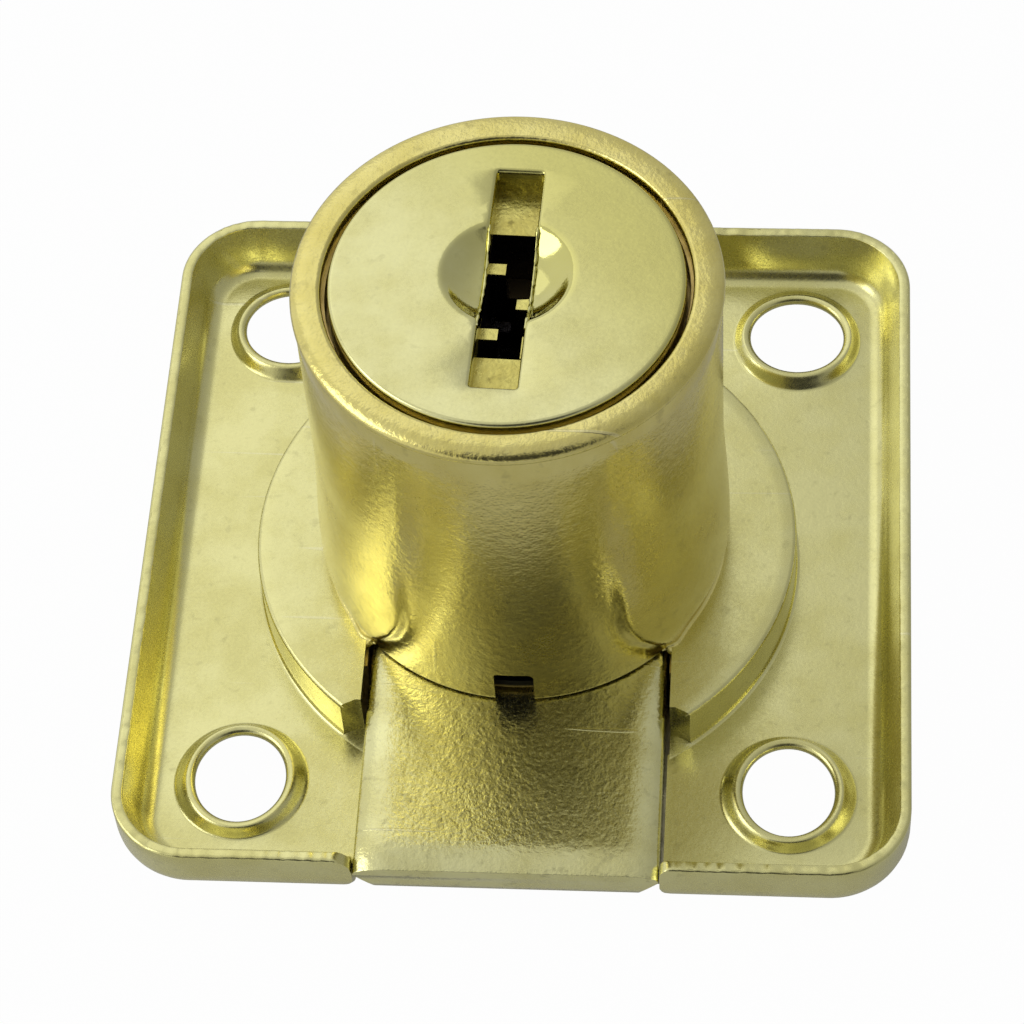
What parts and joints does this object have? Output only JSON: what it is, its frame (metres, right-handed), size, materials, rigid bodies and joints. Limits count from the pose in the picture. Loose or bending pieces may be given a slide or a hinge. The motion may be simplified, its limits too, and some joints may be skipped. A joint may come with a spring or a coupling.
{
  "type": "cabinet drawer lock",
  "caption": "Square drawer lock with a round barrel, a turning wafer plug and a flat bolt that slides out of its rimmed case.",
  "frame": {"origin": "on the barrel's axis at the rear face of the back plate", "axes": "+Z out of the barrel towards the key, the bolt slides out towards -Y, +X to the right when seen from the key's side"},
  "size_m": [0.0368, 0.0376, 0.024],
  "materials": {
    "plated_case": "satin electroplated pale brass over drawn steel",
    "plated_bolt": "tumbled and electroplated pale brass over zinc casting",
    "plated_cap": "satin electroplated pale brass on a stamped cap",
    "zinc_plug": "zinc casting with a thin brass plating at the key's entry",
    "zinc_liner": "plain zinc casting",
    "cover_steel": "brass plated steel sheet",
    "wafer_brass": "stamped brass, bare",
    "spring_steel": "spring wire"
  },
  "bodies": {
    "case": {"lock_case": "plated_case", "barrel_liner": "zinc_liner", "back_plate": "cover_steel"},
    "plug": {"plug_body": "zinc_plug", "plug_cap": "plated_cap", "retaining_spring": "spring_steel", "wafer_spring_1": "spring_steel", "wafer_spring_2": "spring_steel", "wafer_spring_3": "spring_steel", "wafer_spring_4": "spring_steel", "wafer_spring_5": "spring_steel", "wafer_spring_6": "spring_steel"},
    "bolt": {"bolt": "plated_bolt"},
    "retaining_wafer": {"retaining_wafer": "wafer_brass"},
    "wafer_1": {"wafer_1": "wafer_brass"},
    "wafer_2": {"wafer_2": "wafer_brass"},
    "wafer_3": {"wafer_3": "wafer_brass"},
    "wafer_4": {"wafer_4": "wafer_brass"},
    "wafer_5": {"wafer_5": "wafer_brass"},
    "wafer_6": {"wafer_6": "wafer_brass"}
  },
  "joints": [
    {"name": "plug_turn", "type": "hinge", "parent": "case", "child": "plug", "pos_m": [0, 0, 0.02405], "axis": [0, 0, -1], "range_deg": [0, 180]},
    {"name": "bolt_slide", "type": "slide", "parent": "case", "child": "bolt", "axis": [0, -1, 0], "range_m": [0, 0.007]},
    {"name": "wafer_1_slide", "type": "slide", "parent": "plug", "child": "wafer_1", "axis": [0, 1, 0], "range_m": [0, 0.0006], "stiffness_N_per_m": 100, "springref_m": 0.003, "deforming": ["wafer_spring_1"]},
    {"name": "wafer_2_slide", "type": "slide", "parent": "plug", "child": "wafer_2", "axis": [0, -1, 0], "range_m": [0, 0.0006], "stiffness_N_per_m": 100, "springref_m": 0.003, "deforming": ["wafer_spring_2"]},
    {"name": "wafer_3_slide", "type": "slide", "parent": "plug", "child": "wafer_3", "axis": [0, 1, 0], "range_m": [0, 0.0006], "stiffness_N_per_m": 100, "springref_m": 0.003, "deforming": ["wafer_spring_3"]},
    {"name": "wafer_4_slide", "type": "slide", "parent": "plug", "child": "wafer_4", "axis": [0, -1, 0], "range_m": [0, 0.0006], "stiffness_N_per_m": 100, "springref_m": 0.003, "deforming": ["wafer_spring_4"]},
    {"name": "wafer_5_slide", "type": "slide", "parent": "plug", "child": "wafer_5", "axis": [0, 1, 0], "range_m": [0, 0.0006], "stiffness_N_per_m": 100, "springref_m": 0.003, "deforming": ["wafer_spring_5"]},
    {"name": "wafer_6_slide", "type": "slide", "parent": "plug", "child": "wafer_6", "axis": [0, -1, 0], "range_m": [0, 0.0006], "stiffness_N_per_m": 100, "springref_m": 0.003, "deforming": ["wafer_spring_6"]},
    {"name": "retaining_wafer_slide", "type": "slide", "parent": "plug", "child": "retaining_wafer", "axis": [0, 1, 0], "range_m": [0, 0.00075], "stiffness_N_per_m": 100, "springref_m": -0.003, "deforming": ["retaining_spring"]}
  ],
  "couplings": [
    {"joint": "plug_turn", "follows": "bolt_slide", "rad_per_m": 448.79}
  ]
}
